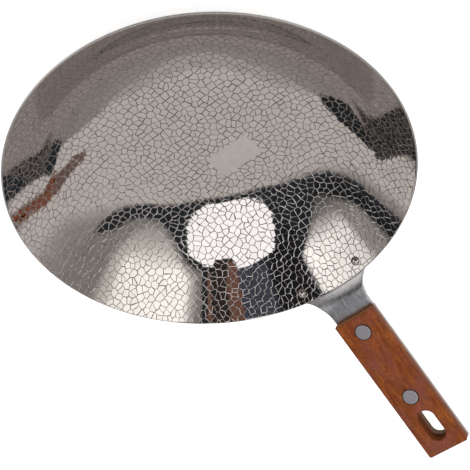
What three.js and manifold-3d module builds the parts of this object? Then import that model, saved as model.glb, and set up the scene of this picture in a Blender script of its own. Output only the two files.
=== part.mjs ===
// A stainless steel frying pan with a wooden handle. The bowl is pressed from one sheet, a bent
// plate is riveted to the wall under its rim, and two wooden scales are riveted to the plate's tang.
// Millimetres, +Z up. The origin is the centre of the base's underside, and the handle lies along +X.

import * as THREE from 'three';
import { mergeVertices } from 'three/addons/utils/BufferGeometryUtils.js';
import Module from 'manifold-3d';

const degrees = Math.PI / 180;

// Pan body
const rimRadius = 110; // to the inner edge of the rim
const floorRadius = 42; // flat part of the floor
const wallAngle = 47 * degrees; // slope of the wall
const wallBend = 68; // inner radius from the floor up into the wall
const sheet = 1.2;

// Handle plate: a flange on the wall, a neck, and a tang between the scales
const plate = 2;
const flangeSide = 6.9; // flange beyond the middle of each pan rivet, sideways
const flangeFoot = 8.4; // flange below the middle of the pan rivets
const flangeCorner = 9;
const bendRise = 3; // middle of the bend above the rim, along the wall
const bendRadius = 18; // at the middle of the plate's thickness
const handleAngle = 29.5 * degrees; // slope of the handle
const neckLength = 15.6; // from the middle of the bend to the scales
const neckStraight = 4; // parallel part of the neck in front of the scales
const flareRadius = 17.5; // hollow sides of the neck, out to the flange
const neckFlatten = 6.6; // along the neck from the bend to where the plate is flat

// Rivets through the wall and the flange
const panRivetSpacing = 39.2;
const panRivetDrop = 6.6; // below the rim, along the wall
const panShankRadius = 1.6;
const panHeadRadius = 2.7;
const panHeadHeight = 1.9;
const panTailRadius = 3.2;
const panTailHeight = 1.5;

// Wooden scales
const scaleLength = 97.8;
const scaleWidth = 26.8;
const scaleThickness = 5.5;
const scaleCorner = 1.5; // far corners, seen from above
const topEdge = 1.2; // long outer edges of the top scale
const bottomSide = 0.5; // straight sides of the bottom scale, which is round below them
const tangInset = 0.3; // tang's edges inside the scales' sides

// Hang slot through the scales and the tang
const slotLength = 20.8;
const slotWidth = 10.3;
const slotMargin = 7.5; // from the slot to the handle's end
const slotLead = 11.5; // from the middle of the rear rivet to the slot
const slotRecess = 1.2; // tang's edge behind the wood, all round the slot

// Wide rivets through the scales and the tang
const frontRivetAt = 10; // from the front end of the scales
const rivetHeadRadius = 4.6;
const rivetHeadHeight = 1.8;
const rivetHeadEdge = 0.3;
const rivetProud = 0.4; // head above the wood
const rivetPostRadius = 1.7;
const sleeveWall = 0.8;

// Fits
const seatGap = 0.3; // between faces that are riveted together
const holeGap = 0.3; // round a shank, a sleeve or a head
const postEndGap = 0.4; // between a post and the floor of its sleeve

// Facets
const panSegments = 96;
const rivetSegments = 28;
const arcSteps = 4; // half the steps of each arc of a turned profile
const roundSteps = 6; // rounded edges and corners of the scales
const slotSteps = 12; // each round end of the slot
const acrossSteps = 14; // across the plate
const cornerSteps = 5; // down each rounded corner of the flange
const sideSteps = 2; // along the flange's straight sides
const flareSteps = 14; // along the neck's hollow sides
const mergeDistance = 1e-4;

const polished = new THREE.MeshStandardMaterial({ color: 0xb9b4b0, roughness: 0.12, metalness: 1 });
const brushed = new THREE.MeshStandardMaterial({ color: 0x9a9a9e, roughness: 0.35, metalness: 1 });
const wood = new THREE.MeshStandardMaterial({ color: 0x80452b, roughness: 0.45, metalness: 0 });

const wasm = await Module();
wasm.setup();

// A closed geometry as a solid to cut and join, with its shared corners merged
function solid(geometry) {
  geometry.deleteAttribute('normal');
  geometry.deleteAttribute('uv');
  const merged = mergeVertices(geometry, mergeDistance);
  const corners = merged.getIndex().array;
  const triangles = [];
  for (let i = 0; i < corners.length; i += 3) {
    const [a, b, c] = corners.slice(i, i + 3);
    if (a !== b && b !== c && c !== a) triangles.push(a, b, c);
  }
  return new wasm.Manifold(new wasm.Mesh({
    numProp: 3,
    vertProperties: new Float32Array(merged.getAttribute('position').array),
    triVerts: new Uint32Array(triangles),
  }));
}

function piece(name, shape, material) {
  const { vertProperties, triVerts } = shape.getMesh();
  const geometry = new THREE.BufferGeometry();
  geometry.setAttribute('position', new THREE.BufferAttribute(vertProperties, 3));
  geometry.setIndex(new THREE.BufferAttribute(triVerts, 1));
  geometry.computeVertexNormals();
  const mesh = new THREE.Mesh(geometry, material);
  mesh.name = name;
  return mesh;
}

// A profile of radius and height, turned about the Z axis
function turned(profile, segments) {
  const points = profile.getPoints(arcSteps);
  return new THREE.LatheGeometry(points, segments).rotateX(Math.PI / 2);
}

function rod(radius, from, to) {
  const profile = new THREE.Path().moveTo(0, from).lineTo(radius, from).lineTo(radius, to).lineTo(0, to);
  return turned(profile, rivetSegments);
}

// Pan body. The wall stays straight behind the flange, so the bend is limited by it.
const flangeDrop = panRivetDrop + flangeFoot;
const straightWall = flangeDrop * Math.cos(wallAngle);
const bend = Math.min(wallBend, (rimRadius - floorRadius - straightWall) / Math.sin(wallAngle));
const bendTop = {
  x: floorRadius + bend * Math.sin(wallAngle),
  y: sheet + bend * (1 - Math.cos(wallAngle)),
};
const rimHeight = bendTop.y + (rimRadius - bendTop.x) * Math.tan(wallAngle);

// Directions in the plane of the handle: up the wall, and square out of it
const upWall = new THREE.Vector2(Math.cos(wallAngle), Math.sin(wallAngle));
const outOfWall = new THREE.Vector2(Math.sin(wallAngle), -Math.cos(wallAngle));
const rim = new THREE.Vector2(rimRadius, rimHeight);

function panProfile() {
  const outerRim = rim.clone().addScaledVector(outOfWall, sheet);
  const foot = -Math.PI / 2;
  const bendCentre = sheet + bend;
  return new THREE.Path()
    .moveTo(0, 0)
    .lineTo(floorRadius, 0)
    .absarc(floorRadius, bendCentre, bend + sheet, foot, foot + wallAngle, false)
    .lineTo(outerRim.x, outerRim.y)
    .lineTo(rim.x, rim.y)
    .lineTo(bendTop.x, bendTop.y)
    .absarc(floorRadius, bendCentre, bend, foot + wallAngle, foot, true)
    .lineTo(0, sheet);
}

// The plate's spine: its middle line in the plane of the handle, measured from the middle of the
// bend, with the flange at negative distances and the tang at positive ones
const bendAt = rim.clone()
  .addScaledVector(outOfWall, sheet + seatGap + plate / 2)
  .addScaledVector(upWall, bendRise);
const bendTurn = wallAngle - handleAngle;
const bendLeg = bendRadius * Math.tan(bendTurn / 2);
const alongHandle = new THREE.Vector2(Math.cos(handleAngle), Math.sin(handleAngle));
const flangeEnd = -(flangeDrop + bendRise);
const tangEnd = neckLength + scaleLength - tangInset;

function spine(distance) {
  if (distance <= -bendLeg) return bendAt.clone().addScaledVector(upWall, distance);
  if (distance >= bendLeg) return bendAt.clone().addScaledVector(alongHandle, distance);
  const turn = bendTurn * (distance + bendLeg) / (2 * bendLeg);
  const slope = wallAngle - turn;
  return bendAt.clone()
    .addScaledVector(upWall, -bendLeg)
    .add(new THREE.Vector2(Math.sin(wallAngle) - Math.sin(slope), Math.cos(slope) - Math.cos(wallAngle))
      .multiplyScalar(bendRadius));
}

// Half the plate's width along its spine: rounded flange, hollow flare, parallel neck and tang
const flangeHalf = panRivetSpacing / 2 + flangeSide;
const neckHalf = scaleWidth / 2 - tangInset;
const flareEnd = neckLength - neckStraight;
const flareDepth = Math.min(flangeHalf - neckHalf, flareRadius);
const flareStart = flareEnd - Math.sqrt(flareRadius ** 2 - (flareRadius - flareDepth) ** 2);
const corner = Math.min(flangeCorner, flareStart - flangeEnd);

function halfWidth(distance) {
  if (distance >= flareEnd) return neckHalf;
  if (distance >= flareStart) {
    return neckHalf + flareRadius - Math.sqrt(flareRadius ** 2 - (flareEnd - distance) ** 2);
  }
  const inCorner = Math.max(0, corner - (distance - flangeEnd));
  return flangeHalf - corner + Math.sqrt(corner ** 2 - inCorner ** 2);
}

// A point on the middle of the plate. The flange curves round the wall, and the neck flattens out.
function platePoint(distance, across) {
  const middle = spine(distance);
  const round = 1 - THREE.MathUtils.smoothstep(distance, bendLeg, neckFlatten);
  const sag = middle.x - Math.sqrt(middle.x ** 2 - across ** 2);
  return new THREE.Vector3(middle.x - round * sag, across, middle.y);
}

function plateNormal(distance, across) {
  const step = 0.01;
  const along = platePoint(distance + step, across).sub(platePoint(distance - step, across));
  const side = platePoint(distance, across + step).sub(platePoint(distance, across - step));
  return along.cross(side).normalize();
}

function evenly(from, to, steps) {
  return Array.from({ length: steps }, (_, i) => from + (to - from) * i / steps);
}

// Both faces of the plate as one closed skin: a ring of points at each station of the spine
function plateSkin() {
  const stations = [
    ...evenly(flangeEnd, flangeEnd + corner, cornerSteps),
    ...evenly(flangeEnd + corner, flareStart, sideSteps),
    ...evenly(flareStart, flareEnd, flareSteps),
    flareEnd,
    tangEnd,
  ];
  const ringSize = 2 * (acrossSteps + 1);
  const positions = [];
  for (const distance of stations) {
    for (let i = 0; i < ringSize; i += 1) {
      const onTop = i <= acrossSteps;
      const share = onTop ? i / acrossSteps : (ringSize - 1 - i) / acrossSteps;
      const across = halfWidth(distance) * (2 * share - 1);
      const lift = (onTop ? 1 : -1) * plate / 2;
      const point = platePoint(distance, across).addScaledVector(plateNormal(distance, across), lift);
      positions.push(point.x, point.y, point.z);
    }
  }
  const corners = [];
  for (let s = 0; s + 1 < stations.length; s += 1) {
    for (let i = 0; i < ringSize; i += 1) {
      const a = s * ringSize + i;
      const b = s * ringSize + (i + 1) % ringSize;
      corners.push(a, a + ringSize, b, b, a + ringSize, b + ringSize);
    }
  }
  const last = (stations.length - 1) * ringSize;
  for (let i = 0; i < acrossSteps; i += 1) {
    const under = ringSize - 1 - i;
    corners.push(i, i + 1, under, i + 1, under - 1, under);
    corners.push(last + i, last + under, last + i + 1, last + i + 1, last + under, last + under - 1);
  }
  const geometry = new THREE.BufferGeometry();
  geometry.setAttribute('position', new THREE.Float32BufferAttribute(positions, 3));
  geometry.setIndex(corners);
  return geometry;
}

// Frames that the rivets and scales are placed in. A pan rivet's Z points into the pan, square to
// the wall, from the wall's inner face. The handle's X runs along the tang from the front of the scales.
const panRivetSeat = rim.clone().addScaledVector(upWall, -panRivetDrop);
const panRivetTurn = Math.asin(panRivetSpacing / 2 / panRivetSeat.x);

function panRivetFrame(side) {
  const frame = new THREE.Group();
  const turn = side * panRivetTurn;
  frame.position.set(panRivetSeat.x * Math.cos(turn), panRivetSeat.x * Math.sin(turn), panRivetSeat.y);
  frame.rotation.set(0, -wallAngle, turn, 'ZYX');
  frame.updateMatrix();
  return frame;
}

const handle = new THREE.Group();
const handleStart = spine(neckLength);
handle.position.set(handleStart.x, 0, handleStart.y);
handle.rotation.y = -handleAngle;
handle.updateMatrix();

const slotEnd = scaleLength - slotMargin;
const slotStart = slotEnd - slotLength;
const panRivets = { left: panRivetFrame(-1), right: panRivetFrame(1) };
const handleRivets = { front: frontRivetAt, rear: slotStart - slotLead };

// Heights in the handle's frame, from the middle of the tang
const scaleInside = plate / 2 + seatGap;
const scaleOutside = scaleInside + scaleThickness;
const headTop = scaleOutside + rivetProud;
const headUnder = headTop - rivetHeadHeight;
const sleeveBore = rivetPostRadius + holeGap;
const sleeveRadius = sleeveBore + sleeveWall;

// A long slot with round ends, through everything, wider than the hang slot by a margin all round
function slotCutter(margin) {
  const half = slotWidth / 2;
  const outline = new THREE.Shape()
    .absarc(slotEnd - half, 0, half + margin, -Math.PI / 2, Math.PI / 2, false)
    .absarc(slotStart + half, 0, half + margin, Math.PI / 2, Math.PI * 1.5, false);
  const depth = 4 * scaleOutside;
  const straight = { depth, bevelEnabled: false, curveSegments: slotSteps };
  return new THREE.ExtrudeGeometry(outline, straight).translate(0, 0, -depth / 2);
}

function panBody() {
  let shape = solid(turned(panProfile(), panSegments));
  const reach = 4 * sheet;
  for (const frame of Object.values(panRivets)) {
    shape = shape.subtract(solid(rod(panShankRadius + holeGap, -reach, reach).applyMatrix4(frame.matrix)));
  }
  return shape;
}

function handlePlate() {
  let shape = solid(plateSkin());
  const reach = 4 * (sheet + plate);
  for (const frame of Object.values(panRivets)) {
    shape = shape.subtract(solid(rod(panShankRadius + holeGap, -reach, 0).applyMatrix4(frame.matrix)));
  }
  for (const at of Object.values(handleRivets)) {
    const hole = rod(sleeveRadius + holeGap, -reach, reach).translate(at, 0, 0);
    shape = shape.subtract(solid(hole.applyMatrix4(handle.matrix)));
  }
  return shape.subtract(solid(slotCutter(slotRecess).applyMatrix4(handle.matrix)));
}

// Sections across the handle, from the tang outwards: the top scale is flat with rounded edges, and
// the bottom scale is flush with the tang and round, for the fingers
function flatSection() {
  const half = scaleWidth / 2;
  const edge = Math.min(topEdge, scaleThickness);
  return new THREE.Shape()
    .moveTo(-half, scaleInside)
    .lineTo(half, scaleInside)
    .absarc(half - edge, scaleOutside - edge, edge, 0, Math.PI / 2, false)
    .absarc(-half + edge, scaleOutside - edge, edge, Math.PI / 2, Math.PI, false);
}

function roundSection() {
  const up = Math.PI / 2;
  const arch = capOf(neckHalf, scaleThickness - bottomSide);
  return new THREE.Shape()
    .moveTo(-neckHalf, scaleInside)
    .lineTo(neckHalf, scaleInside)
    .lineTo(neckHalf, scaleInside + bottomSide)
    .absarc(0, scaleOutside - arch.radius, arch.radius, up - arch.angle, up + arch.angle, false);
}

// One scale, lying on the tang: its section along the handle, its outline from above, and its holes
function scale(section) {
  const half = scaleWidth / 2;
  const outline = new THREE.Shape()
    .moveTo(0, -half)
    .lineTo(scaleLength - scaleCorner, -half)
    .absarc(scaleLength - scaleCorner, -half + scaleCorner, scaleCorner, -Math.PI / 2, 0, false)
    .absarc(scaleLength - scaleCorner, half - scaleCorner, scaleCorner, 0, Math.PI / 2, false)
    .lineTo(0, half);
  const plain = { bevelEnabled: false, curveSegments: roundSteps };
  const through = 2 * scaleOutside;
  const alongX = new THREE.Matrix4().makeBasis(
    new THREE.Vector3(0, 1, 0), new THREE.Vector3(0, 0, 1), new THREE.Vector3(1, 0, 0));
  const bar = new THREE.ExtrudeGeometry(section, { ...plain, depth: scaleLength }).applyMatrix4(alongX);
  const board = new THREE.ExtrudeGeometry(outline, { ...plain, depth: through });
  let shape = solid(bar).intersect(solid(board)).subtract(solid(slotCutter(0)));
  for (const at of Object.values(handleRivets)) {
    const hole = rod(sleeveRadius + holeGap, 0, through).translate(at, 0, 0);
    const recess = rod(rivetHeadRadius + holeGap, headUnder - seatGap, through).translate(at, 0, 0);
    shape = shape.subtract(solid(hole)).subtract(solid(recess));
  }
  return shape;
}

// The circle of a shallow cap, and how far the cap reaches round it
function capOf(half, height) {
  const radius = (half ** 2 + height ** 2) / (2 * height);
  return { radius, angle: Math.atan2(half, radius - height) };
}

// A solid rivet: dome inside the pan, shank through wall and flange, flatter head on the flange
function panRivet() {
  const up = Math.PI / 2;
  const dome = capOf(panHeadRadius, panHeadHeight);
  const tail = capOf(panTailRadius, panTailHeight);
  const domeCentre = seatGap + panHeadHeight - dome.radius;
  const tailUnder = -(sheet + plate + 2 * seatGap);
  const tailCentre = tailUnder - panTailHeight + tail.radius;
  const profile = new THREE.Path()
    .absarc(0, tailCentre, tail.radius, -up, -up + tail.angle, false)
    .lineTo(panShankRadius, tailUnder)
    .lineTo(panShankRadius, seatGap)
    .lineTo(panHeadRadius, seatGap)
    .absarc(0, domeCentre, dome.radius, up - dome.angle, up, false);
  return solid(turned(profile, rivetSegments));
}

// A flat head with a softened edge, then a post down through the handle
function rivetPost() {
  const profile = new THREE.Path()
    .moveTo(0, -headUnder + postEndGap)
    .lineTo(rivetPostRadius, -headUnder + postEndGap)
    .lineTo(rivetPostRadius, headUnder)
    .lineTo(rivetHeadRadius, headUnder)
    .lineTo(rivetHeadRadius, headTop - rivetHeadEdge)
    .lineTo(rivetHeadRadius - rivetHeadEdge, headTop)
    .lineTo(0, headTop);
  return solid(turned(profile, rivetSegments));
}

// The same head underneath, with a tube up through the handle that takes the post
function rivetSleeve() {
  const profile = new THREE.Path()
    .moveTo(0, -headTop)
    .lineTo(rivetHeadRadius - rivetHeadEdge, -headTop)
    .lineTo(rivetHeadRadius, -headTop + rivetHeadEdge)
    .lineTo(rivetHeadRadius, -headUnder)
    .lineTo(sleeveRadius, -headUnder)
    .lineTo(sleeveRadius, headUnder - seatGap)
    .lineTo(sleeveBore, headUnder - seatGap)
    .lineTo(sleeveBore, -headUnder)
    .lineTo(0, -headUnder);
  return solid(turned(profile, rivetSegments));
}

const pan = new THREE.Group();
pan.add(piece('pan_body', panBody(), polished));
pan.add(piece('handle_plate', handlePlate(), brushed));

for (const [side, frame] of Object.entries(panRivets)) {
  frame.add(piece(`pan_rivet_${side}`, panRivet(), polished));
  pan.add(frame);
}

handle.add(piece('top_scale', scale(flatSection()), wood));
const bottomScale = piece('bottom_scale', scale(roundSection()), wood);
bottomScale.rotation.x = Math.PI;
handle.add(bottomScale);

for (const [place, at] of Object.entries(handleRivets)) {
  const post = piece(`${place}_rivet_post`, rivetPost(), brushed);
  const sleeve = piece(`${place}_rivet_sleeve`, rivetSleeve(), brushed);
  for (const half of [post, sleeve]) {
    half.position.x = at;
    handle.add(half);
  }
}
pan.add(handle);

export default pan;
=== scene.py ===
import math

import bpy
from mathutils import Matrix, Vector


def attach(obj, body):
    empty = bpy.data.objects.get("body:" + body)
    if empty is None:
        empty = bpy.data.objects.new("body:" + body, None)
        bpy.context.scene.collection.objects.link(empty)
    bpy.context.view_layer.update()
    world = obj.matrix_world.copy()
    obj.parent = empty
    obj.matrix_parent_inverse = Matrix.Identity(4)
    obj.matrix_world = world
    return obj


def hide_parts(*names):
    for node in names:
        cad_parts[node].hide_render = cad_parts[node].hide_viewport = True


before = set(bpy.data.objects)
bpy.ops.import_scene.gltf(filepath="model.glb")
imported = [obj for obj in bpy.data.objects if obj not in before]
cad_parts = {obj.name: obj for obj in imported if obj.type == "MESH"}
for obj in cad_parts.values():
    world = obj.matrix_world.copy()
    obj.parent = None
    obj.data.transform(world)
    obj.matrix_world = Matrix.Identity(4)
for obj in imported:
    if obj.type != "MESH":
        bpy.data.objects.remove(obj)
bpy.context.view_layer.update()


# Pan body
# The bowl is pressed from one disc of stainless steel sheet. Its inside is polished to a mirror and
# etched with a crackle of small cells. Its outside keeps the fine rings of the polishing wheel.

mm = 0.001
rim_radius = 110 * mm
floor_radius = 42 * mm
wall_bend = 68 * mm
wall_slope = math.radians(47)
sheet = 1.2 * mm
rim_rounding = 0.3 * mm
rim_support = 1 * mm
pan_segments = 256
floor_steps = 8
bend_steps = 24
wall_steps = 8
outer_wall_steps = 6
outer_bend_steps = 20
close = 0.01 * mm  # places nearer to each other than this are taken as the same

bend_top_radius = floor_radius + wall_bend * math.sin(wall_slope)
bend_top_height = sheet + wall_bend * (1 - math.cos(wall_slope))
rim_height = bend_top_height + (rim_radius - bend_top_radius) * math.tan(wall_slope)
up_wall = Vector((math.cos(wall_slope), 0, math.sin(wall_slope)))
out_of_wall = Vector((math.sin(wall_slope), 0, -math.cos(wall_slope)))
rim = Vector((rim_radius, 0, rim_height))


def draw_rings(name, profile, segments):
    """Starts a small disc at the first radius and height, and draws its edge out ring by ring."""
    (radius, height), *rest = profile
    bpy.ops.object.select_all(action="DESELECT")
    bpy.ops.mesh.primitive_circle_add(vertices=segments, radius=radius, fill_type="TRIFAN")
    piece = bpy.context.object
    piece.name = name
    bpy.ops.object.mode_set(mode="EDIT")
    bpy.ops.transform.translate(value=(0, 0, height))
    bpy.ops.mesh.region_to_loop()
    for next_radius, next_height in rest:
        drawn = next_radius / radius
        bpy.ops.mesh.extrude_edges_move(TRANSFORM_OT_translate={"value": (0, 0, next_height - height)})
        bpy.ops.transform.resize(value=(drawn, drawn, 1), center_override=(0, 0, 0))
        radius, height = next_radius, next_height
    bpy.ops.mesh.extrude_edges_move()
    bpy.ops.mesh.merge(type="CENTER")
    bpy.ops.mesh.select_all(action="SELECT")
    bpy.ops.mesh.normals_make_consistent(inside=False)
    bpy.ops.object.mode_set(mode="OBJECT")
    return piece


def bend_rings(radius, steps):
    """Rings round the bend between floor and wall, at a radius of the bend."""
    angles = [wall_slope * step / steps for step in range(steps + 1)]
    return [(floor_radius + radius * math.sin(angle), sheet + wall_bend - radius * math.cos(angle))
            for angle in angles]


def wall_rings(start, end, steps):
    """Rings up or down a straight wall."""
    points = [start.lerp(end, step / steps) for step in range(1, steps + 1)]
    return [(point.x, point.z) for point in points]


bend_top = Vector((bend_top_radius, 0, bend_top_height))
outer_rim = rim + out_of_wall * sheet
outer_bend_top = bend_top + out_of_wall * sheet
floor_rings = [(floor_radius * step / floor_steps, sheet) for step in range(1, floor_steps)]
profile = [
    *floor_rings,
    *bend_rings(wall_bend, bend_steps),
    *wall_rings(bend_top, rim - up_wall * rim_support, wall_steps),
    (rim.x, rim.z),
    (outer_rim.x, outer_rim.z),
    *wall_rings(outer_rim, outer_rim - up_wall * rim_support, 1),
    *wall_rings(outer_rim - up_wall * rim_support, outer_bend_top, outer_wall_steps),
    *reversed(bend_rings(wall_bend + sheet, outer_bend_steps)[:-1]),
    *[(radius, 0) for radius, _ in reversed(floor_rings)],
]
pan = draw_rings("pan", profile, pan_segments)


def select_only(piece):
    """Makes a piece the only one selected, and the active one."""
    bpy.ops.object.select_all(action="DESELECT")
    piece.select_set(True)
    bpy.context.view_layer.objects.active = piece


def clear_selection(piece, element):
    """Leaves nothing selected in a piece, ready for its vertices or edges to be selected in code."""
    select_only(piece)
    bpy.ops.object.mode_set(mode="EDIT")
    bpy.ops.mesh.select_mode(type=element)
    bpy.ops.mesh.select_all(action="DESELECT")
    bpy.ops.object.mode_set(mode="OBJECT")


def select_edges(piece, wanted):
    """Selects the edges both of whose ends are at a wanted place, and opens the piece in edit mode."""
    clear_selection(piece, "EDGE")
    corners = piece.data.vertices
    for edge in piece.data.edges:
        a, b = (corners[corner].co for corner in edge.vertices)
        edge.select = wanted(a, b)
    bpy.ops.object.mode_set(mode="EDIT")


def on_rim(a, b):
    """Edges round the inner and the outer corner of the cut rim."""
    round_pan = abs(a.z - b.z) < close and a.xy.length > rim_radius - close
    return round_pan and min(abs(a.z - rim.z), abs(a.z - outer_rim.z)) < close


select_edges(pan, on_rim)
bpy.ops.mesh.bevel(offset=rim_rounding, segments=4)
bpy.ops.object.mode_set(mode="OBJECT")
bpy.ops.object.shade_smooth()

# The inside laid out flat, so that the etched cells keep their size up the wall
laid_flat = pan.data.attributes.new("laid_flat", "FLOAT_VECTOR", "POINT")
for vertex, flat in zip(pan.data.vertices, laid_flat.data):
    radius = vertex.co.xy.length
    round_bend = min(max(radius - floor_radius, 0), bend_top_radius - floor_radius)
    laid_radius = (min(radius, floor_radius) + wall_bend * math.asin(round_bend / wall_bend)
                   + max(radius - bend_top_radius, 0) / math.cos(wall_slope))
    flat.vector = vertex.co * (laid_radius / radius if radius else 1)


def linear(colour):
    """An sRGB hex colour as the linear colour of a socket."""
    parts = [int(colour[place:place + 2], 16) / 255 for place in (1, 3, 5)]
    return [part / 12.92 if part <= 0.04045 else ((part + 0.055) / 1.055) ** 2.4 for part in parts] + [1]


def add_node(tree, kind, inputs, **settings):
    """Adds a node to a tree, with its settings, and with a value or a link for each named input."""
    node = tree.nodes.new("ShaderNode" + kind)
    for setting, value in settings.items():
        setattr(node, setting, value)
    for socket, value in inputs.items():
        if isinstance(value, bpy.types.NodeSocket):
            tree.links.new(value, node.inputs[socket])
        else:
            node.inputs[socket].default_value = value
    return node


def new_material(name):
    """An empty material, with its node tree and the inputs of its surface shader."""
    material = bpy.data.materials.new(name)
    material.use_nodes = True
    return material, material.node_tree, material.node_tree.nodes["Principled BSDF"].inputs


# A Mix node's sockets for colours, which only their numbers tell apart
mix_by, mix_from, mix_to, mixed = 0, 6, 7, 2

# Crackle-etched stainless steel: mirror-bright cells between fine etched grooves. The sides of a groove
# mirror another part of the room, so lines show dark on a bright reflection and light on a dark one.
etched, tree, shader = new_material("crackle_etched_stainless_steel")
cell_size = 3.85 * mm
groove_half_width = 0.285 * mm
groove_depth = 0.072 * mm
shoulder_width = 1.1 * mm
shoulder_depth = 0.004 * mm
wander_size = 2.5 * mm
wander = 0.35 * mm
flow_size = 5 * mm
widest, narrowest = 0.65, 1.45  # a groove narrows as these stretch the distance from its middle
narrower_up_wall = 1.3
cell_polish, groove_roughness = 0.035, 0.3
laid = add_node(tree, "Attribute", {}, attribute_name="laid_flat").outputs["Vector"]
drift = add_node(tree, "TexNoise", {"Vector": laid, "Scale": 1 / wander_size, "Detail": 1},
                 noise_dimensions="2D")
drift = add_node(tree, "VectorMath", {0: drift.outputs["Color"], 1: (0.5,) * 3}, operation="SUBTRACT")
drift = add_node(tree, "VectorMath", {0: drift.outputs["Vector"], 1: (2 * wander,) * 3},
                 operation="MULTIPLY")
wavy = add_node(tree, "VectorMath", {0: laid, 1: drift.outputs["Vector"]}, operation="ADD")
pattern = {"Vector": wavy.outputs["Vector"], "Scale": 1 / cell_size, "Randomness": 0.8}
crackle = add_node(tree, "TexVoronoi", pattern, voronoi_dimensions="2D", feature="DISTANCE_TO_EDGE")
cell = add_node(tree, "TexVoronoi", pattern, voronoi_dimensions="2D", feature="F1")
flow = add_node(tree, "TexNoise", {"Vector": laid, "Scale": 1 / flow_size, "Detail": 2},
                noise_dimensions="2D")
stretch = add_node(tree, "MapRange", {"Value": flow.outputs["Fac"], "From Min": 0.3, "From Max": 0.7,
                                      "To Min": widest * cell_size, "To Max": narrowest * cell_size})
out = add_node(tree, "VectorMath", {0: laid}, operation="LENGTH")
up_bowl = add_node(tree, "MapRange", {"Value": out.outputs["Value"], "From Min": floor_radius,
                                      "From Max": bend_top_radius}).outputs["Result"]
thin = add_node(tree, "MapRange", {"Value": up_bowl, "To Min": 1, "To Max": narrower_up_wall})
stretch = add_node(tree, "Math", {0: stretch.outputs["Result"], 1: thin.outputs["Result"]},
                   operation="MULTIPLY")
reach = add_node(tree, "Math", {0: crackle.outputs["Distance"], 1: stretch.outputs["Value"]},
                 operation="MULTIPLY")
groove = add_node(tree, "MapRange", {"Value": reach.outputs["Value"], "From Max": groove_half_width,
                                     "To Min": 1, "To Max": 0})
shoulder = add_node(tree, "MapRange", {"Value": reach.outputs["Value"], "From Max": shoulder_width,
                                       "To Min": 1, "To Max": 0}, interpolation_type="SMOOTHSTEP")

# The floor has a small plain patch with no grooves
patch_centre = (20.8 * mm, 1.5 * mm, 0)
patch_half = (8.2 * mm, 14 * mm)
patch_edge = 0.4 * mm
place = add_node(tree, "TexCoord", {}).outputs["Object"]
centred = add_node(tree, "VectorMath", {0: place, 1: patch_centre}, operation="SUBTRACT")
sides = add_node(tree, "VectorMath", {0: centred.outputs["Vector"]}, operation="ABSOLUTE")
sides = add_node(tree, "SeparateXYZ", {0: sides.outputs["Vector"]})
outside = [add_node(tree, "MapRange", {"Value": sides.outputs[axis], "From Min": half - patch_edge,
                                       "From Max": half + patch_edge}, interpolation_type="SMOOTHSTEP")
           for axis, half in zip("XY", patch_half)]
outside = add_node(tree, "Math", {0: outside[0].outputs["Result"], 1: outside[1].outputs["Result"]},
                   operation="MAXIMUM").outputs["Value"]
etch = add_node(tree, "Math", {0: groove.outputs["Result"], 1: outside}, operation="MULTIPLY")
etch = etch.outputs["Value"]

sunk = add_node(tree, "Math", {0: shoulder.outputs["Result"], 1: outside}, operation="MULTIPLY")
sunk = add_node(tree, "Math", {0: sunk.outputs["Value"], 1: -shoulder_depth}, operation="MULTIPLY")
height = add_node(tree, "Math", {0: etch, 1: -groove_depth, 2: sunk.outputs["Value"]},
                  operation="MULTIPLY_ADD")
relief = add_node(tree, "Bump", {"Height": height.outputs["Value"], "Strength": 1, "Distance": 1})
tone = add_node(tree, "SeparateColor", {0: cell.outputs["Color"]})
bright = add_node(tree, "Mix", {mix_by: tone.outputs["Red"], mix_from: linear("#d8d4d0"),
                                mix_to: linear("#e0dcd8")}, data_type="RGBA")
# The grooves are coloured darker on the floor and paler up the wall.
line = add_node(tree, "Mix", {mix_by: up_bowl, mix_from: linear("#56504d"), mix_to: linear("#a19d99")},
                data_type="RGBA")
steel = add_node(tree, "Mix", {mix_by: etch, mix_from: bright.outputs[mixed],
                               mix_to: line.outputs[mixed]}, data_type="RGBA")
gloss = add_node(tree, "MapRange", {"Value": etch, "To Min": cell_polish, "To Max": groove_roughness})
shader["Metallic"].default_value = 1
tree.links.new(steel.outputs[mixed], shader["Base Color"])
tree.links.new(gloss.outputs["Result"], shader["Roughness"])
tree.links.new(relief.outputs["Normal"], shader["Normal"])

# Ring-polished stainless steel: satin, with fine rings round the pan that draw its highlights out.
ringed, tree, shader = new_material("ring_polished_stainless_steel")
ring_width = 0.5 * mm  # drawn coarser than the real rings, so that they show
ring_depth = 0.02 * mm
place = add_node(tree, "TexCoord", {})
axes = add_node(tree, "SeparateXYZ", {0: place.outputs["Object"]})
across = add_node(tree, "CombineXYZ", {"X": axes.outputs["X"], "Y": axes.outputs["Y"]})
radius = add_node(tree, "VectorMath", {0: across.outputs["Vector"]}, operation="LENGTH")
rings = add_node(tree, "TexNoise", {"W": radius.outputs["Value"], "Scale": 1 / ring_width, "Detail": 3},
                 noise_dimensions="1D")
gloss = add_node(tree, "MapRange", {"Value": rings.outputs["Fac"], "To Min": 0.2, "To Max": 0.38})
relief = add_node(tree, "Bump", {"Height": rings.outputs["Fac"], "Strength": 0.15,
                                 "Distance": ring_depth})
shader["Base Color"].default_value = linear("#cbc7c3")
shader["Metallic"].default_value = 1
tree.links.new(gloss.outputs["Result"], shader["Roughness"])
tree.links.new(relief.outputs["Normal"], shader["Normal"])

# Sheared stainless steel: the cut edges of the sheet, pale and rough, so much duller than its faces.
sheared, tree, shader = new_material("sheared_stainless_steel")
tear_size = 0.4 * mm
place = add_node(tree, "TexCoord", {})
tears = add_node(tree, "TexNoise", {"Vector": place.outputs["Object"], "Scale": 1 / tear_size,
                                    "Detail": 3})
gloss = add_node(tree, "MapRange", {"Value": tears.outputs["Fac"], "To Min": 0.4, "To Max": 0.6})
shader["Base Color"].default_value = linear("#d0cdca")
shader["Metallic"].default_value = 1
tree.links.new(gloss.outputs["Result"], shader["Roughness"])

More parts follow.
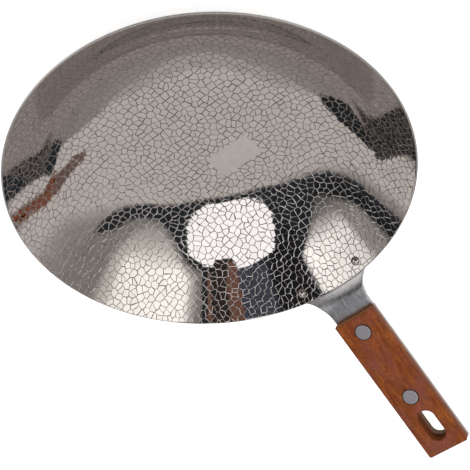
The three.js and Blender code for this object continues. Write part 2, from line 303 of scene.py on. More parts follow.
finishes = (etched, ringed, sheared)
for finish in finishes:
    pan.data.materials.append(finish)
for face in pan.data.polygons:
    inside = face.normal.z > 0 and face.center.xy.length < rim_radius - rim_rounding
    on_cut_rim = not inside and face.center.z > outer_rim.z
    finish = etched if inside else sheared if on_cut_rim else ringed
    face.material_index = finishes.index(finish)
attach(pan, "root")
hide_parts("pan_body")


# Handle plate
# One strip of 2 mm stainless steel, bent under the rim: a flange curved to the wall, a neck with
# hollow sides, and a tang between the two wooden scales. Its faces are brushed to a satin grey.

plate_thickness = 2 * mm
seat_gap = 0.3 * mm
bend_rise = 3 * mm
plate_bend = 18 * mm
handle_slope = math.radians(29.5)
neck_length = 15.6 * mm
neck_straight = 4 * mm
neck_flatten = 6.6 * mm
late_turn = 0.5 * mm
late_turn_at = 4 * mm
flare_radius = 17.5 * mm
flange_drop = 15 * mm
flange_half = 26.5 * mm
flange_corner = 9 * mm
scale_length = 97.8 * mm
scale_width = 26.8 * mm
tang_inset = 0.3 * mm
plate_edge = 0.5 * mm
corner_steps = 12
flange_steps = 5
flare_steps = 40
tang_steps = 40
columns = 33

along_handle = Vector((math.cos(handle_slope), 0, math.sin(handle_slope)))
up_handle = Vector((-math.sin(handle_slope), 0, math.cos(handle_slope)))
bend_middle = rim + out_of_wall * (sheet + seat_gap + plate_thickness / 2) + up_wall * bend_rise
bend_turn = wall_slope - handle_slope
bend_leg = plate_bend * math.tan(bend_turn / 2)
flange_end = -(flange_drop + bend_rise)
tang_end = neck_length + scale_length - tang_inset
neck_half = scale_width / 2 - tang_inset
flare_end = neck_length - neck_straight
flare_start = flare_end - math.sqrt(flare_radius ** 2 - (flare_radius - flange_half + neck_half) ** 2)


def spine(distance):
    """A point on the middle line of the plate, by its distance from the middle of the bend."""
    if distance <= -bend_leg:
        return bend_middle + up_wall * distance
    if distance >= bend_leg:
        return bend_middle + along_handle * distance
    slope = wall_slope - bend_turn * (distance + bend_leg) / (2 * bend_leg)
    turned = Vector((math.sin(wall_slope) - math.sin(slope), 0, math.cos(slope) - math.cos(wall_slope)))
    return bend_middle - up_wall * bend_leg + turned * plate_bend


def half_width(distance):
    """Half the width of the plate: rounded flange, hollow flare, then parallel neck and tang."""
    if distance >= flare_end:
        return neck_half
    if distance >= flare_start:
        return neck_half + flare_radius - math.sqrt(flare_radius ** 2 - (flare_end - distance) ** 2)
    in_corner = max(0, flange_corner - (distance - flange_end))
    return flange_half - flange_corner + math.sqrt(flange_corner ** 2 - in_corner ** 2)


def plate_point(distance, across):
    """A point in the middle of the plate, round as the wall on the flange and flat from the neck on."""
    middle = spine(distance)
    share = min(max((distance - bend_leg) / (neck_flatten - bend_leg), 0), 1)
    roundness = 1 - share * share * (3 - 2 * share)
    sag = middle.x - math.sqrt(middle.x ** 2 - across ** 2)
    rise = min(max((distance + bend_leg) / (late_turn_at + bend_leg), 0), 1)
    fall = min(max((neck_length - distance) / (neck_length - late_turn_at), 0), 1)
    late = late_turn * rise * rise * (3 - 2 * rise) * fall
    return middle + Vector((-roundness * sag, across, 0)) + up_handle * late


# The rows of the sheet are set one by one, because each has its own width and its own curve
corner_rows = [flange_end + flange_corner * (1 - math.cos(math.pi / 2 * step / corner_steps))
               for step in range(corner_steps)]
corner_end = flange_end + flange_corner
flange_rows = [corner_end + (flare_start - flange_end - flange_corner) * step / flange_steps
               for step in range(flange_steps)]
flare_rows = [flare_start + (flare_end - flare_start) * step / flare_steps
              for step in range(flare_steps + 1)]
tang_rows = [flare_end + (tang_end - flare_end) * step / tang_steps for step in range(1, tang_steps + 1)]
rows = corner_rows + flange_rows + flare_rows + tang_rows
bpy.ops.object.select_all(action="DESELECT")
bpy.ops.mesh.primitive_grid_add(x_subdivisions=len(rows) - 1, y_subdivisions=columns - 1, size=2)
plate = bpy.context.object
plate.name = "handle_strip"
for vertex in plate.data.vertices:
    distance = rows[round((vertex.co.x + 1) / 2 * (len(rows) - 1))]
    vertex.co = plate_point(distance, vertex.co.y * half_width(distance))


def apply_modifier(piece, kind, **settings):
    """Adds a modifier to a piece and applies it."""
    bpy.context.view_layer.objects.active = piece
    modifier = piece.modifiers.new(kind.lower(), kind)
    for setting, value in settings.items():
        setattr(modifier, setting, value)
    bpy.ops.object.modifier_apply(modifier=modifier.name)


apply_modifier(plate, "SOLIDIFY", thickness=plate_thickness, offset=0, use_even_offset=True)
apply_modifier(plate, "BEVEL", width=plate_edge, segments=3, limit_method="ANGLE",
               angle_limit=math.radians(50))

# The slot through the tang is cut a little wider than the one in the wood
slot_length = 20.8 * mm
slot_width = 10.3 * mm
slot_margin = 7.5 * mm
slot_recess = 1.2 * mm
slot_cutter_height = 40 * mm
slot_end = scale_length - slot_margin
slot_start = slot_end - slot_length
handle_start = spine(neck_length)
handle_frame = Matrix.Translation(handle_start) @ Matrix.Rotation(-handle_slope, 4, "Y")


def put_on_handle(piece):
    """Moves a piece from a handle that lies flat at the origin to its place, held in its mesh."""
    select_only(piece)
    piece.matrix_world = handle_frame @ piece.matrix_world
    bpy.ops.object.transform_apply(location=True, rotation=True, scale=True)


def slot_cutter(margin):
    """A bar with round ends, as a cutter for the hang slot, wider than it by a margin all round."""
    near_end = slot_start + slot_width / 2
    bpy.ops.object.select_all(action="DESELECT")
    bpy.ops.mesh.primitive_cylinder_add(vertices=64, radius=slot_width / 2 + margin,
                                        depth=slot_cutter_height, location=(near_end, 0, 0))
    cutter = bpy.context.object
    bpy.ops.object.transform_apply(location=True)
    clear_selection(cutter, "VERT")
    for vertex in cutter.data.vertices:
        vertex.select = vertex.co.x > near_end + close
    bpy.ops.object.mode_set(mode="EDIT")
    bpy.ops.transform.translate(value=(slot_length - slot_width, 0, 0))
    bpy.ops.object.mode_set(mode="OBJECT")
    return cutter


def cut(piece, cutter):
    """Cuts a piece with a cutter and throws the cutter away."""
    apply_modifier(piece, "BOOLEAN", object=cutter, operation="DIFFERENCE", solver="EXACT")
    bpy.data.objects.remove(cutter)


cutter = slot_cutter(slot_recess)
put_on_handle(cutter)
cut(plate, cutter)
select_only(plate)
steel_crease = math.radians(40)
bpy.ops.object.shade_smooth_by_angle(angle=steel_crease)

# Brushed stainless steel: satin, with fine scratches along the handle that blur what it mirrors.
brushed, tree, shader = new_material("brushed_stainless_steel")
scratch_width = 0.25 * mm  # drawn coarser than the real scratches, so that they show
scratch_length = 12 * mm
scratch_depth = 0.065 * mm
place = add_node(tree, "TexCoord", {})
along = add_node(tree, "Mapping", {"Vector": place.outputs["Object"], "Rotation": (0, handle_slope, 0)})
stretch = add_node(tree, "Mapping", {"Vector": along.outputs["Vector"],
                                     "Scale": (1 / scratch_length, 1 / scratch_width, 1 / scratch_width)})
scratches = add_node(tree, "TexNoise", {"Vector": stretch.outputs["Vector"], "Scale": 1, "Detail": 3})
gloss = add_node(tree, "MapRange", {"Value": scratches.outputs["Fac"], "To Min": 0.16, "To Max": 0.28})
relief = add_node(tree, "Bump", {"Height": scratches.outputs["Fac"], "Strength": 1,
                                 "Distance": scratch_depth})
shader["Base Color"].default_value = linear("#c8c7c8")
shader["Metallic"].default_value = 1
tree.links.new(gloss.outputs["Result"], shader["Roughness"])
tree.links.new(relief.outputs["Normal"], shader["Normal"])

finishes = (brushed, sheared)
for finish in finishes:
    plate.data.materials.append(finish)
facing = 0.9  # a face whose normal reaches this far along an axis faces that way
for face in plate.data.polygons:
    edge_on = abs(face.normal.y) > facing and face.center.x > rim_radius
    face.material_index = finishes.index(sheared if edge_on else brushed)
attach(plate, "root")
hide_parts("handle_plate")


# Pan rivets
# Two solid stainless rivets hold the flange to the wall. Each has a small polished dome inside the
# pan, and a wider and flatter head that is closed on the flange outside.

pan_rivet_spacing = 39.2 * mm
pan_rivet_drop = 6.6 * mm
dome_radius = 2.7 * mm
dome_height = 1.9 * mm
tail_radius = 3.2 * mm
tail_height = 1.5 * mm
shank_radius = 1.6 * mm
dome_lift = 0.05 * mm  # the dome is pressed down on the wall
tail_lift = 0.25 * mm  # the tail is closed down on the flange
tail_under = -(sheet + plate_thickness + 2 * seat_gap) + tail_lift
cap_steps = 10
pan_rivet_segments = 48


def cap_rings(radius, height, steps):
    """Rings of a round cap from its top, by radius and depth below the top."""
    sphere = (radius ** 2 + height ** 2) / (2 * height)
    reach = math.atan2(radius, sphere - height)
    angles = [reach * step / steps for step in range(1, steps + 1)]
    return [(sphere * math.sin(angle), sphere * (1 - math.cos(angle))) for angle in angles]


dome_top = dome_lift + dome_height
tail_top = tail_under - tail_height
dome = cap_rings(dome_radius, dome_height, cap_steps)
tail = cap_rings(tail_radius, tail_height, cap_steps)
profile = [
    *[(radius, dome_top - depth) for radius, depth in dome],
    (shank_radius, dome_lift),
    (shank_radius, tail_under),
    *[(radius, tail_top + depth) for radius, depth in reversed(tail)],
]
rivet = draw_rings("pan_rivet", profile, pan_rivet_segments)
bpy.ops.object.shade_smooth_by_angle(angle=steel_crease)

# Polished stainless steel: bright and clear, with a little blur from handling.
polished, tree, shader = new_material("polished_stainless_steel")
smudge_size = 1.5 * mm
place = add_node(tree, "TexCoord", {})
smudges = add_node(tree, "TexNoise", {"Vector": place.outputs["Object"], "Scale": 1 / smudge_size,
                                      "Detail": 2})
gloss = add_node(tree, "MapRange", {"Value": smudges.outputs["Fac"], "To Min": 0.05, "To Max": 0.12})
shader["Base Color"].default_value = linear("#cfcbc6")
shader["Metallic"].default_value = 1
tree.links.new(gloss.outputs["Result"], shader["Roughness"])
rivet.data.materials.append(polished)

rivet_seat = rim - up_wall * pan_rivet_drop
rivet_turn = math.asin(pan_rivet_spacing / 2 / rivet_seat.x)
other = rivet.copy()
other.data = rivet.data.copy()
bpy.context.collection.objects.link(other)
for piece, side, node in ((rivet, -1, "pan_rivet_left"), (other, 1, "pan_rivet_right")):
    piece.name = "dome_" + node
    piece.matrix_world = (Matrix.Rotation(side * rivet_turn, 4, "Z") @ Matrix.Translation(rivet_seat)
                          @ Matrix.Rotation(-wall_slope, 4, "Y"))
    select_only(piece)
    bpy.ops.object.transform_apply(location=True, rotation=True, scale=True)
    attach(piece, "root")
    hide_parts(node)


# Wooden scales
# Two slats of red-brown hardwood on either side of the tang, with the hang slot cut through. The
# upper one is flat with lightly rounded edges, and the lower one is round for the fingers.

scale_thickness = 5.5 * mm
scale_corner = 1.5 * mm
top_edge = 1.2 * mm
bottom_side = 0.5 * mm
end_edge = 0.5 * mm
slot_edge = 1.1 * mm
scale_inside = plate_thickness / 2 + seat_gap
scale_outside = scale_inside + scale_thickness
rivet_head_radius = 4.6 * mm
rivet_head_height = 1.8 * mm
rivet_proud = 0.4 * mm
recess_gap = 0.5 * mm
head_top = scale_outside + rivet_proud
head_under = head_top - rivet_head_height
recess_cutter_height = 20 * mm
rivet_places = {"front": 10 * mm, "rear": slot_start - 11.5 * mm}

# Oiled red-brown hardwood: satin, figured with orange and dark red along the handle, with grey-brown
# clouds of painted sheen and short pores.
wood, tree, shader = new_material("oiled_red_brown_hardwood")
figure_width = 3 * mm
figure_length = 13 * mm
painted_sheen_width = 9 * mm
painted_sheen_length = 26 * mm
pore_width = 0.35 * mm
pore_length = 2 * mm
pore_depth = 0.05 * mm
place = add_node(tree, "TexCoord", {})
along = add_node(tree, "Mapping", {"Vector": place.outputs["Object"], "Rotation": (0, handle_slope, 0)})
stretch = add_node(tree, "Mapping", {"Vector": along.outputs["Vector"],
                                     "Scale": (1 / figure_length, 1 / figure_width, 1 / figure_width)})
figure = add_node(tree, "TexNoise", {"Vector": stretch.outputs["Vector"], "Scale": 1, "Detail": 5,
                                     "Roughness": 0.6, "Distortion": 0.5})
ramp = add_node(tree, "ValToRGB", {"Fac": figure.outputs["Fac"]})
stops = ramp.color_ramp.elements
stops[0].position, stops[0].color = 0.3, linear("#6c3013")
stops[1].position, stops[1].color = 0.7, linear("#a95d22")
stops.new(0.5).color = linear("#86451f")
# Painted sheen: broad grey-brown clouds mixed into the colour stand in for the soft sheen of light on the
# oil.
wide = add_node(tree, "Mapping", {"Vector": along.outputs["Vector"],
                                  "Scale": (1 / painted_sheen_length, 1 / painted_sheen_width, 1 / painted_sheen_width)})
painted_sheen_noise = add_node(tree, "TexNoise", {"Vector": wide.outputs["Vector"], "Scale": 1, "Detail": 2})
painted_sheen = add_node(tree, "MapRange", {"Value": painted_sheen_noise.outputs["Fac"], "From Min": 0.42, "From Max": 0.6,
                                    "To Max": 0.85})
with_painted_sheen = add_node(tree, "Mix", {mix_by: painted_sheen.outputs["Result"], mix_from: ramp.outputs["Color"],
                                 mix_to: linear("#884c3e")}, data_type="RGBA")
fine = add_node(tree, "Mapping", {"Vector": along.outputs["Vector"],
                                  "Scale": (1 / pore_length, 1 / pore_width, 1 / pore_width)})
pores = add_node(tree, "TexNoise", {"Vector": fine.outputs["Vector"], "Scale": 1, "Detail": 3})
pore = add_node(tree, "MapRange", {"Value": pores.outputs["Fac"], "From Min": 0.48, "From Max": 0.68,
                                   "To Max": 0.85})
grain = add_node(tree, "Mix", {mix_by: pore.outputs["Result"], mix_from: with_painted_sheen.outputs[mixed],
                               mix_to: linear("#4b2112")}, data_type="RGBA")
gloss = add_node(tree, "MapRange", {"Value": pores.outputs["Fac"], "To Min": 0.38, "To Max": 0.6})
relief = add_node(tree, "Bump", {"Height": pores.outputs["Fac"], "Strength": 0.2, "Distance": pore_depth})
wood_ior = 1.45
shader["IOR"].default_value = wood_ior
shader["Specular IOR Level"].default_value = 0.25
tree.links.new(grain.outputs[mixed], shader["Base Color"])
tree.links.new(gloss.outputs["Result"], shader["Roughness"])
tree.links.new(relief.outputs["Normal"], shader["Normal"])

# Cut hardwood: matt, because it was cut after oiling. It is plain brown in the slot and the recesses
# above. It is greyer and paler in those below, which is painted light from the floor, and paler on the
# sawn ends, which is painted light as well.
saw_mark = 0.6 * mm
bare_woods = []
for name, dark, light in (("unoiled_cut_hardwood", "#6b3516", "#83481f"),
                          ("cut_hardwood_with_painted_floor_light", "#765c4a", "#8b715f"),
                          ("end_hardwood_with_painted_light", "#9c6540", "#b47c55")):
    bare, tree, shader = new_material(name)
    place = add_node(tree, "TexCoord", {})
    marks = add_node(tree, "TexNoise", {"Vector": place.outputs["Object"], "Scale": 1 / saw_mark,
                                        "Detail": 3})
    brown = add_node(tree, "Mix", {mix_by: marks.outputs["Fac"], mix_from: linear(dark),
                                   mix_to: linear(light)}, data_type="RGBA")
    shader["Roughness"].default_value = 0.9
    shader["IOR"].default_value = wood_ior
    shader["Specular IOR Level"].default_value = 0.2
    tree.links.new(brown.outputs[mixed], shader["Base Color"])
    bare_woods.append(bare)
unoiled, painted_floor_light_wood, painted_light_end_wood = bare_woods


def far_corner(a, b):
    """The two upright corners at the far end."""
    return min(a.x, b.x) > scale_length - close and abs(a.y - b.y) < close


def top_rim(a, b):
    """The edges of the outer face."""
    return min(a.z, b.z) > scale_outside - close


def slot_rim(a, b):
    """The rim of the hang slot in the outer face."""
    along_slot = min(a.x, b.x) > slot_start - close and max(a.x, b.x) < slot_end + close
    across_slot = max(abs(a.y), abs(b.y)) < slot_width / 2 + close
    return along_slot and across_slot and top_rim(a, b)


def end_rim(a, b):
    """The round rims of both ends."""
    at_end = min(a.x, b.x) > scale_length - close or max(a.x, b.x) < close
    return at_end and min(a.z, b.z) > scale_inside + close and abs(a.y - b.y) > close


def round_over(piece, wanted, offset, segments):
    """Rounds the wanted edges of a piece."""
    select_edges(piece, wanted)
    bpy.ops.mesh.bevel(offset=offset, segments=segments)
    bpy.ops.object.mode_set(mode="OBJECT")


# The upper slat is a block, with its far corners and then its whole upper rim rounded over
bpy.ops.object.select_all(action="DESELECT")
bpy.ops.mesh.primitive_cube_add(size=1, location=(scale_length / 2, 0,
                                                  scale_inside + scale_thickness / 2))
top_slat = bpy.context.object
top_slat.name = "top_slat"
top_slat.scale = (scale_length, scale_width, scale_thickness)
bpy.ops.object.transform_apply(location=True, rotation=True, scale=True)
round_over(top_slat, far_corner, scale_corner, segments=8)
round_over(top_slat, top_rim, top_edge, segments=6)

# The lower slat is cut from a round bar, flat on the tang and flush with its sides
crown = scale_thickness - bottom_side
bar_radius = (neck_half ** 2 + crown ** 2) / (2 * crown)
bpy.ops.object.select_all(action="DESELECT")
bpy.ops.mesh.primitive_cylinder_add(vertices=192, radius=bar_radius, depth=scale_length,
                                    rotation=(0, math.pi / 2, 0),
                                    location=(scale_length / 2, 0, scale_outside - bar_radius))
bottom_slat = bpy.context.object
bottom_slat.name = "bottom_slat"
bpy.ops.object.transform_apply(location=True, rotation=True, scale=True)
bpy.ops.object.mode_set(mode="EDIT")
for place, away in (((0, 0, scale_inside), (0, 0, -1)), ((0, neck_half, 0), (0, 1, 0)),
                    ((0, -neck_half, 0), (0, -1, 0))):
    bpy.ops.mesh.select_all(action="SELECT")
    bpy.ops.mesh.bisect(plane_co=place, plane_no=away, use_fill=True, clear_outer=True)
bpy.ops.object.mode_set(mode="OBJECT")
round_over(bottom_slat, end_rim, end_edge, segments=3)

recess_floor = head_under - recess_gap
cut_half_width = 0.6 * slot_width  # just past the sides of the slot and of the recesses
steep = 0.7  # a face whose normal rises less than this is a wall of a slot or a recess
handle_crease = math.radians(35)
# The lower slat's slot and recess walls take the cut wood whose grey paleness is painted light from the
# floor.
for slat, node, turn, bare in ((top_slat, "top_scale", 0, unoiled),
                               (bottom_slat, "bottom_scale", math.pi, painted_floor_light_wood)):
    cut(slat, slot_cutter(0))
    if slat == top_slat:
        round_over(slat, slot_rim, slot_edge, segments=5)
    for at in rivet_places.values():
        bpy.ops.object.select_all(action="DESELECT")
        bpy.ops.mesh.primitive_cylinder_add(vertices=64, radius=rivet_head_radius + recess_gap,
                                            depth=recess_cutter_height,
                                            location=(at, 0, recess_floor + recess_cutter_height / 2))
        cut(slat, bpy.context.object)
    # The ends take the paler end wood, whose paleness is painted light.
    finishes = (wood, bare, painted_light_end_wood)
    for finish in finishes:
        slat.data.materials.append(finish)
    for face in slat.data.polygons:
        between_ends = slot_edge < face.center.x < scale_length - slot_edge
        in_cut = between_ends and abs(face.center.y) < cut_half_width
        on_wall = in_cut and abs(face.normal.z) < steep
        on_end = not in_cut and abs(face.normal.x) > facing
        finish = bare if on_wall else painted_light_end_wood if on_end else wood
        face.material_index = finishes.index(finish)
    slat.matrix_world = Matrix.Rotation(turn, 4, "X")
    put_on_handle(slat)
    bpy.ops.object.shade_smooth_by_angle(angle=handle_crease)
    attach(slat, "root")
    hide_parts(node)


# Handle rivets
# Two wide two-part rivets clamp the slats to the tang: a post from above, pressed into a sleeve from
# below. Their flat heads stand a little proud of the wood, in a recess, and are faced to a dull grey.

head_edge = 0.3 * mm
head_edge_middle = 0.09 * mm
head_ring_shares = (0.15, 0.4, 0.7, 0.85)
post_radius = 1.7 * mm
post_end = 0.2 * mm  # the post and the sleeve stop just short of each other
head_segments = 64
profile = [
    *[(rivet_head_radius * share, head_top) for share in head_ring_shares],
    (rivet_head_radius - head_edge, head_top),
    (rivet_head_radius - head_edge_middle, head_top - head_edge_middle),
    (rivet_head_radius, head_top - head_edge),
    (rivet_head_radius, head_under),
    (post_radius, head_under),
    (post_radius, post_end),
]
post = draw_rings("rivet_post", profile, head_segments)
bpy.ops.object.shade_smooth_by_angle(angle=handle_crease)

# Faced aluminium: dull and grey, with a fine grit on the flat of the head.
faced, tree, shader = new_material("faced_aluminium")
grit = 0.3 * mm  # drawn coarser than the real grit, so that it shows
grit_depth = 0.02 * mm
place = add_node(tree, "TexCoord", {})
mottle = add_node(tree, "TexNoise", {"Vector": place.outputs["Object"], "Scale": 1 / grit, "Detail": 3})
gloss = add_node(tree, "MapRange", {"Value": mottle.outputs["Fac"], "To Min": 0.38, "To Max": 0.55})
relief = add_node(tree, "Bump", {"Height": mottle.outputs["Fac"], "Strength": 0.15,
                                 "Distance": grit_depth})
shader["Base Color"].default_value = linear("#bab7ba")
shader["Metallic"].default_value = 1
tree.links.new(gloss.outputs["Result"], shader["Roughness"])
tree.links.new(relief.outputs["Normal"], shader["Normal"])
post.data.materials.append(faced)

for end, at in rivet_places.items():
    for half, turn in (("post", 0), ("sleeve", math.pi)):
        piece = post.copy()
        piece.data = post.data.copy()
        bpy.context.collection.objects.link(piece)
        piece.name = f"{end}_head_{half}"
        piece.matrix_world = Matrix.Translation((at, 0, 0)) @ Matrix.Rotation(turn, 4, "X")
        put_on_handle(piece)
        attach(piece, "root")
        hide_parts(f"{end}_rivet_{half}")
bpy.data.objects.remove(post)


# Floor
# A plain white studio floor that the pan stands on. The camera sees it a little brighter than it is
# lit, so that it runs out to white, and it keeps the shadow of the pan.

bpy.ops.object.select_all(action="DESELECT")
bpy.ops.mesh.primitive_plane_add(size=20)
floor = bpy.context.object
floor.name = "floor"
white, tree, shader = new_material("white_studio_paper")
floor_lift = 0.6
path = add_node(tree, "LightPath", {})
lift = add_node(tree, "Math", {0: path.outputs["Is Camera Ray"], 1: floor_lift}, operation="MULTIPLY")
shader["Base Color"].default_value = linear("#f7f7f7")
shader["Roughness"].default_value = 0.9
shader["Specular IOR Level"].default_value = 0
shader["Emission Color"].default_value = linear("#ffffff")
tree.links.new(lift.outputs["Value"], shader["Emission Strength"])
floor.data.materials.append(white)


# Studio
# Soft light from all round, and a broad soft lamp beside the camera. The polished bowl mirrors a grey
# backdrop, a dark roof edge with two sloping sides, a white panel below it, and a few darker uprights.

world = bpy.data.worlds.new("studio")
bpy.context.scene.world = world
world.use_nodes = True
world.cycles.sampling_method = "NONE"
tree = world.node_tree
mirrored = Vector((0.4983, -0.4014, 0.7685))  # what the middle of the pan's floor mirrors to the camera
upright = Vector((-0.5985, 0.482, 0.6399))
sideways = Vector((-0.6273, -0.7788, 0))

direction = add_node(tree, "TexCoord", {}).outputs["Generated"]
parts = [add_node(tree, "VectorMath", {0: direction, 1: axis}, operation="DOT_PRODUCT").outputs["Value"]
         for axis in (upright, sideways, mirrored)]
away = add_node(tree, "Math", {0: parts[2]}, operation="ARCCOSINE").outputs["Value"]
away = add_node(tree, "Math", {0: away}, operation="DEGREES").outputs["Value"]
turn = add_node(tree, "Math", {0: parts[1], 1: parts[0]}, operation="ARCTAN2").outputs["Value"]
turn = add_node(tree, "MapRange", {"Value": turn, "From Min": -math.pi, "From Max": math.pi})
furthest = 120
side_width = 0.5


def outline(points, elsewhere):
    """How far a card's edge is from the mirrored point at each angle round it, both in degrees."""
    node = add_node(tree, "FloatCurve", {"Value": turn.outputs["Result"]})
    curve = node.mapping.curves[0]
    first, last = points[0][0], points[-1][0]
    points = [(first - side_width, elsewhere), *points, (last + side_width, elsewhere)]
    ends = dict(points)
    curve.points[0].location = (0, ends.get(-180, elsewhere) / furthest)
    curve.points[1].location = (1, ends.get(180, elsewhere) / furthest)
    for angle, distance in points:
        if -180 < angle < 180:
            curve.points.new((angle + 180) / 360, distance / furthest)
    for point in curve.points:
        point.handle_type = "VECTOR"
    node.mapping.update()
    return node.outputs["Value"]


def past(edge, soft):
    """Where a direction lies past an edge."""
    over = add_node(tree, "Math", {0: edge, 1: -furthest, 2: away}, operation="MULTIPLY_ADD")
    return add_node(tree, "MapRange", {"Value": over.outputs["Value"], "From Min": -soft,
                                       "From Max": soft},
                    interpolation_type="SMOOTHSTEP").outputs["Result"]


def card(under, colour, near_edge, far_edge=None, soft=1):
    """Hangs a card in the studio, between its near and its far edge."""
    mask = past(outline(near_edge, furthest), soft)
    if far_edge:
        beyond = past(outline(far_edge, 0), soft)
        mask = add_node(tree, "Math", {0: mask, 1: beyond}, operation="SUBTRACT", use_clamp=True)
        mask = mask.outputs["Value"]
    return add_node(tree, "Mix", {mix_by: mask, mix_from: under, mix_to: colour},
                    data_type="RGBA").outputs[mixed]


def graded(near, far, start, end):
    """A colour that runs from one to another with the distance from the mirrored point."""
    share = add_node(tree, "MapRange", {"Value": away, "From Min": start, "From Max": end})
    return add_node(tree, "Mix", {mix_by: share.outputs["Result"], mix_from: linear(near),
                                  mix_to: linear(far)}, data_type="RGBA").outputs[mixed]


# The grey backdrop, which darkens downwards beyond the handle
studio = linear("#afaaa7")
for near_edge in ([(-180, 6), (-155, 6), (-145, 10), (-135, 21)],
                  [(135, 21), (145, 10), (155, 6), (180, 6)]):
    studio = card(studio, linear("#9a9592"), near_edge, soft=5)
low_grey = graded("#878280", "#7a7473", 20, 42)
studio = card(studio, low_grey,
              [(-180, 26), (-160, 18), (-150, 17.5), (-135, 20.5), (-127, 23), (-122, 30), (-119, 40),
               (-118, 60)],
              [(-180, 120), (-140, 120), (-135, 74), (-130, 68), (-125, 65), (-118, 62)], soft=2.5)
studio = card(studio, low_grey,
              [(133, 60), (133.5, 34), (137, 26), (142, 23), (150, 20), (158, 17), (165, 18), (180, 26)],
              soft=2.5)

# The dark roof edge, with a soft shade outside it and a darker side on the right
studio = card(studio, linear("#7f7b79"),
              [(-104, 82), (-95, 74), (-85, 66), (-75, 58), (-66, 50), (-58, 43), (-50, 35), (-44, 30)],
              soft=9)
studio = card(studio, linear("#7b7775"),
              [(40, 14), (52, 19), (60, 23), (68, 27), (76, 32), (84, 40), (92, 50), (100, 61),
               (108, 74)], soft=7)
studio = card(studio, linear("#222529"),
              [(-70, 78), (-64, 61), (-60, 52), (-52, 39), (-44, 30), (-36, 24), (-28, 20.5), (-20, 16.5),
               (-12, 11), (-4, 6), (4, 4.5), (12, 5), (20, 6.5), (28, 9), (36, 13), (44, 17.5),
               (52, 20.5), (60, 25), (68, 28.5), (76, 34.5), (84, 45), (92, 56.5), (98, 68)], soft=2.5)
studio = card(studio, linear("#1b1d1f"),
              [(55, 46), (60, 34), (68, 34), (76, 41), (84, 52), (92, 64)], soft=4)

# The left slope below it is grey at the top and lightens downwards, and fades out to the left
studio = card(studio, linear("#777371"),
              [(-72, 70), (-64, 65), (-60, 62), (-56, 59), (-52, 56), (-48, 50), (-44, 44), (-38, 38.5),
               (-32, 36), (-26, 36), (-22, 43), (-19, 50), (-17, 58), (-14, 71), (-11, 76), (-7, 82)],
              soft=3)
studio = card(studio, graded("#878381", "#b5b1ad", 40, 60),
              [(-58, 84), (-50, 70), (-44, 60), (-38, 50), (-32, 41), (-27, 40), (-24, 46), (-21, 54),
               (-18, 66), (-15, 76), (-12, 83), (-9, 89)], soft=5)
studio = card(studio, graded("#b5b1ad", "#fefbf8", 60, 83),
              [(-60, 97), (-52, 86), (-48, 79), (-44, 71), (-40, 65), (-34, 60), (-24, 60), (-20, 67),
               (-16, 79), (-12, 90)], soft=7)

# The right slope starts as a dark grey tip and runs out to white
studio = card(studio, graded("#4f4d4c", "#8c8886", 46, 70),
              [(46, 74), (50, 60), (55, 47), (59, 42), (63, 43), (68, 49), (74, 55), (80, 61), (86, 68),
               (92, 77)], soft=3)
studio = card(studio, graded("#7a7776", "#fffdfa", 56, 78),
              [(42, 92), (45, 80), (48, 71), (52, 61), (57, 55), (63, 54), (68, 60), (72, 67), (76, 74),
               (84, 88)], soft=5)

# A dark gap beside the right slope, the dark horizon, and a blue-grey patch between the slopes
studio = card(studio, linear("#191a1c"),
              [(24, 96), (28, 76), (32, 58), (36, 50), (40, 56), (43, 70), (45, 90)], soft=5)
studio = card(studio, linear("#1e1b1a"), [(-75, 98), (95, 98)], soft=3)
studio = card(studio, linear("#3a3e47"), [(0, 92), (8, 80), (16, 77), (24, 80), (30, 92)], soft=4)

# The white panel, the dark patches at both sides and the brown uprights
studio = card(studio, linear("#fdfbff"),
              [(-12.7, 38), (-10.5, 28), (-5, 16), (0, 11.5), (16, 11.5), (22, 16), (27, 25), (29.6, 35)],
              [(-12.7, 64), (-9, 70), (-5, 75), (2, 79), (10, 80), (16, 79), (21, 76), (29.6, 69)],
              soft=0.7)
studio = card(studio, linear("#1d2022"),
              [(116, 46), (118, 38), (121, 33), (125, 29.5), (130, 28.5), (134, 29), (136.5, 33)],
              [(116, 57), (120, 58.5), (123, 59.5), (126, 59.5), (129, 61), (136.5, 62)])
studio = card(studio, linear("#22262a"),
              [(-131, 54), (-127, 49), (-122, 45), (-118, 47), (-114, 50), (-111, 53)],
              [(-131, 67), (-126, 64), (-120, 61.5), (-117, 60), (-114, 58.5), (-111, 57)])
studio = card(studio, linear("#5e4c47"),
              [(-107, 52), (-105, 44), (-103.5, 31), (-102, 29), (-98, 29), (-96.5, 33)],
              [(-107, 59), (-104, 62), (-100, 61), (-98.5, 55), (-97.5, 48), (-96.5, 42)])
studio = card(studio, linear("#2b2624"), [(-1.7, 75), (0.3, 70), (3.8, 69), (9.3, 69.5)])
for near_edge in ([(4.8, 77), (6.3, 73), (9.3, 73), (10.8, 80), (11.8, 95)],
                  [(-5.2, 90), (-4.2, 83), (-1.7, 80)]):
    studio = card(studio, linear("#65473c"), near_edge)

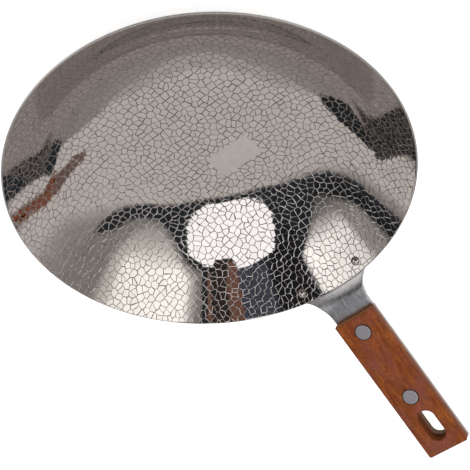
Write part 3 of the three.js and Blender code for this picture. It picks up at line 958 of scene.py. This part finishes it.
# What one side of the bowl mirrors by way of the other is a plain grey, dark to both sides
echo = linear("#9e9898")
echo = card(echo, linear("#1a1c1d"),
            [(39, 50), (44, 47.5), (50, 48.5), (58, 47.5), (64, 46.5), (70, 44.5), (76, 42.5), (82, 42)],
            soft=2)
echo = card(echo, linear("#1e2022"), [(-54, 57), (-50, 53), (-46, 49), (-39, 47.5)], soft=2)
past_first_mirror = 1.5
mirrored_strength = 1.35
soft_light = 0.55
path = add_node(tree, "LightPath", {})
again = add_node(tree, "Math", {0: path.outputs["Glossy Depth"], 1: past_first_mirror},
                 operation="GREATER_THAN")
studio = add_node(tree, "Mix", {mix_by: again.outputs["Value"], mix_from: studio, mix_to: echo},
                  data_type="RGBA")
surround = add_node(tree, "Background", {"Color": studio.outputs[mixed], "Strength": mirrored_strength})
plain = add_node(tree, "Background", {"Color": linear("#ffffff"), "Strength": soft_light})
seen = add_node(tree, "Background", {"Color": linear("#ffffff"), "Strength": 1})
lit = add_node(tree, "MixShader", {0: path.outputs["Is Glossy Ray"], 1: plain.outputs["Background"],
                                   2: surround.outputs["Background"]})
shown = add_node(tree, "MixShader", {0: path.outputs["Is Camera Ray"], 1: lit.outputs["Shader"],
                                     2: seen.outputs["Background"]})
tree.links.new(shown.outputs["Shader"], tree.nodes["World Output"].inputs["Surface"])

lamp_place = Vector((-0.5, 0.6, 1.6))
lamp_target = Vector((0.05, 0, 0.05))
lamp_data = bpy.data.lights.new("soft_lamp", "AREA")
lamp_data.shape = "DISK"
lamp_data.size = 1.2
lamp_data.energy = 15
lamp = bpy.data.objects.new("soft_lamp", lamp_data)
bpy.context.scene.collection.objects.link(lamp)
lamp.location = lamp_place
lamp.rotation_mode = "QUATERNION"
lamp.rotation_quaternion = (lamp_target - lamp_place).to_track_quat("-Z", "Y")
lamp.visible_glossy = False


# Camera
# It looks down into the pan from beyond the side opposite the handle, turned almost upside down, so
# that the handle points to the lower right of the picture.

image_width = 470
focal_pixels = 1300.4
camera_data = bpy.data.cameras.new("camera")
camera_data.sensor_width = 36
camera_data.lens = camera_data.sensor_width * focal_pixels / image_width
camera = bpy.data.objects.new("camera", camera_data)
bpy.context.scene.collection.objects.link(camera)
camera_place = Vector((-0.36295, 0.29229, 0.51464 + rim_height))
forward = Vector((0.55485, -0.42582, -0.71471))
up = Vector((-0.52164, 0.49117, -0.6976))
right = forward.cross(up)
aim = Matrix((right, up, -forward)).transposed()
camera.matrix_world = Matrix.Translation(camera_place) @ aim.to_4x4()
bpy.context.scene.camera = camera
bpy.context.scene.view_settings.view_transform = "Standard"
